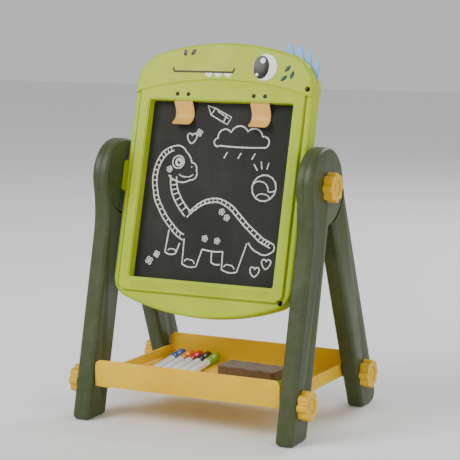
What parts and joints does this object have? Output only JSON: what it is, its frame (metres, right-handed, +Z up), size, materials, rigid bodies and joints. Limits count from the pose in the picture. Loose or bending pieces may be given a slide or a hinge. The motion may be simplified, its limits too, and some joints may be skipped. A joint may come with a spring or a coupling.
{
  "type": "tabletop easel",
  "caption": "Tabletop drawing easel: a framed board, chalk one side and magnetic white the other, turns between splayed side legs above a tray with capped markers and an eraser.",
  "frame": {"origin": "on the floor under the middle of the easel's outer box", "axes": "+X to the right of someone facing the chalkboard, +Y to the back, +Z up"},
  "size_m": [0.3408, 0.2738, 0.4893],
  "materials": {
    "leg": "moulded dark green plastic, fine satin grain",
    "frame": "moulded lime green plastic, satin",
    "tray": "moulded warm yellow plastic, satin",
    "knob": "moulded deep yellow plastic",
    "clip": "moulded amber plastic, smooth",
    "crest": "moulded pale blue plastic",
    "chalkboard": "matt black writing coat on a moulded plastic sheet",
    "whiteboard": "white gloss enamel on steel sheet",
    "steel": "zinc-plated steel",
    "brass": "turned brass",
    "marker_white": "white moulded plastic",
    "cap_blue": "blue moulded plastic",
    "cap_orange": "orange moulded plastic",
    "cap_red": "red moulded plastic",
    "cap_black": "black moulded plastic",
    "cap_green": "green moulded plastic",
    "eraser_green": "green moulded plastic",
    "felt": "brown wool felt"
  },
  "bodies": {
    "stand": {"front_leg_left": "leg", "rear_leg_left": "leg", "tray_front_left_insert": "brass", "tray_rear_left_insert": "brass", "front_leg_right": "leg", "rear_leg_right": "leg", "tray_front_right_insert": "brass", "tray_rear_right_insert": "brass", "tray": "tray"},
    "board": {"pivot_left_insert": "brass", "pivot_right_insert": "brass", "front_shell": "frame", "front_shell_screw_upper": "steel", "front_shell_screw_lower": "steel", "front_clip_left_screw_a": "steel", "front_clip_left_screw_b": "steel", "front_clip_right_screw_a": "steel", "front_clip_right_screw_b": "steel", "rear_shell": "frame", "rear_shell_screw_upper": "steel", "rear_shell_screw_lower": "steel", "rear_clip_left_screw_a": "steel", "rear_clip_left_screw_b": "steel", "rear_clip_right_screw_a": "steel", "rear_clip_right_screw_b": "steel", "chalkboard_panel": "chalkboard", "whiteboard_panel": "whiteboard", "crest": "crest"},
    "pivot_left_knob": {"pivot_left_knob": "knob", "pivot_left_stud": "steel"},
    "pivot_right_knob": {"pivot_right_knob": "knob", "pivot_right_stud": "steel"},
    "tray_front_left_knob": {"tray_front_left_knob": "knob", "tray_front_left_stud": "steel"},
    "tray_front_right_knob": {"tray_front_right_knob": "knob", "tray_front_right_stud": "steel"},
    "tray_rear_left_knob": {"tray_rear_left_knob": "knob", "tray_rear_left_stud": "steel"},
    "tray_rear_right_knob": {"tray_rear_right_knob": "knob", "tray_rear_right_stud": "steel"},
    "front_clip_left": {"front_clip_left": "clip"},
    "front_clip_right": {"front_clip_right": "clip"},
    "rear_clip_left": {"rear_clip_left": "clip"},
    "rear_clip_right": {"rear_clip_right": "clip"},
    "marker_cap_blue": {"marker_cap_blue": "cap_blue"},
    "marker_barrel_blue": {"marker_barrel_blue": "marker_white"},
    "marker_cap_orange": {"marker_cap_orange": "cap_orange"},
    "marker_barrel_orange": {"marker_barrel_orange": "marker_white"},
    "marker_cap_red": {"marker_cap_red": "cap_red"},
    "marker_barrel_red": {"marker_barrel_red": "marker_white"},
    "marker_cap_black": {"marker_cap_black": "cap_black"},
    "marker_barrel_black": {"marker_barrel_black": "marker_white"},
    "marker_cap_green": {"marker_cap_green": "cap_green"},
    "marker_barrel_green": {"marker_barrel_green": "marker_white"},
    "eraser": {"eraser_body": "eraser_green", "eraser_felt": "felt"}
  },
  "joints": [
    {"name": "board_turn", "type": "hinge", "parent": "stand", "child": "board", "pos_m": [0, -0.03145, 0.311], "axis": [1, 0, 0], "continuous": true},
    {"name": "pivot_left_knob_turn", "type": "hinge", "parent": "stand", "child": "pivot_left_knob", "pos_m": [-0.1643, -0.03145, 0.311], "axis": [-1, 0, 0], "continuous": true},
    {"name": "pivot_right_knob_turn", "type": "hinge", "parent": "stand", "child": "pivot_right_knob", "pos_m": [0.1643, -0.03145, 0.311], "axis": [1, 0, 0], "continuous": true},
    {"name": "tray_front_left_knob_turn", "type": "hinge", "parent": "stand", "child": "tray_front_left_knob", "pos_m": [-0.1643, -0.10545, 0.0475], "axis": [-1, 0, 0], "continuous": true},
    {"name": "tray_front_right_knob_turn", "type": "hinge", "parent": "stand", "child": "tray_front_right_knob", "pos_m": [0.1643, -0.10545, 0.0475], "axis": [1, 0, 0], "continuous": true},
    {"name": "tray_rear_left_knob_turn", "type": "hinge", "parent": "stand", "child": "tray_rear_left_knob", "pos_m": [-0.1643, 0.09355, 0.0475], "axis": [-1, 0, 0], "continuous": true},
    {"name": "tray_rear_right_knob_turn", "type": "hinge", "parent": "stand", "child": "tray_rear_right_knob", "pos_m": [0.1643, 0.09355, 0.0475], "axis": [1, 0, 0], "continuous": true},
    {"name": "front_clip_left_lift", "type": "hinge", "parent": "board", "child": "front_clip_left", "pos_m": [-0.0555, -0.01635, 0.41396], "axis": [-1, 0, 0], "range_deg": [0, 10], "stiffness_Nm_per_rad": 0.5, "springref_deg": -2.86},
    {"name": "front_clip_right_lift", "type": "hinge", "parent": "board", "child": "front_clip_right", "pos_m": [0.0555, -0.01635, 0.41396], "axis": [-1, 0, 0], "range_deg": [0, 10], "stiffness_Nm_per_rad": 0.5, "springref_deg": -2.86},
    {"name": "rear_clip_left_lift", "type": "hinge", "parent": "board", "child": "rear_clip_left", "pos_m": [0.0555, 0.00628, 0.40798], "axis": [1, 0, 0], "range_deg": [0, 10], "stiffness_Nm_per_rad": 0.5, "springref_deg": -2.86},
    {"name": "rear_clip_right_lift", "type": "hinge", "parent": "board", "child": "rear_clip_right", "pos_m": [-0.0555, 0.00628, 0.40798], "axis": [1, 0, 0], "range_deg": [0, 10], "stiffness_Nm_per_rad": 0.5, "springref_deg": -2.86},
    {"name": "marker_blue_lift", "type": "slide", "parent": "stand", "child": "marker_cap_blue", "axis": [0, 0, 1], "range_m": [0, 0.045]},
    {"name": "marker_blue_uncap", "type": "slide", "parent": "marker_cap_blue", "child": "marker_barrel_blue", "axis": [0.1513, -0.9885, 0], "range_m": [0, 0.04]},
    {"name": "marker_orange_lift", "type": "slide", "parent": "stand", "child": "marker_cap_orange", "axis": [0, 0, 1], "range_m": [0, 0.045]},
    {"name": "marker_orange_uncap", "type": "slide", "parent": "marker_cap_orange", "child": "marker_barrel_orange", "axis": [0.1513, -0.9885, 0], "range_m": [0, 0.04]},
    {"name": "marker_red_lift", "type": "slide", "parent": "stand", "child": "marker_cap_red", "axis": [0, 0, 1], "range_m": [0, 0.045]},
    {"name": "marker_red_uncap", "type": "slide", "parent": "marker_cap_red", "child": "marker_barrel_red", "axis": [0.1513, -0.9885, 0], "range_m": [0, 0.04]},
    {"name": "marker_black_lift", "type": "slide", "parent": "stand", "child": "marker_cap_black", "axis": [0, 0, 1], "range_m": [0, 0.045]},
    {"name": "marker_black_uncap", "type": "slide", "parent": "marker_cap_black", "child": "marker_barrel_black", "axis": [0.1513, -0.9885, 0], "range_m": [0, 0.04]},
    {"name": "marker_green_lift", "type": "slide", "parent": "stand", "child": "marker_cap_green", "axis": [0, 0, 1], "range_m": [0, 0.045]},
    {"name": "marker_green_uncap", "type": "slide", "parent": "marker_cap_green", "child": "marker_barrel_green", "axis": [0.1513, -0.9885, 0], "range_m": [0, 0.04]},
    {"name": "eraser_lift", "type": "slide", "parent": "stand", "child": "eraser", "axis": [0, 0, 1], "range_m": [0, 0.045]}
  ]
}
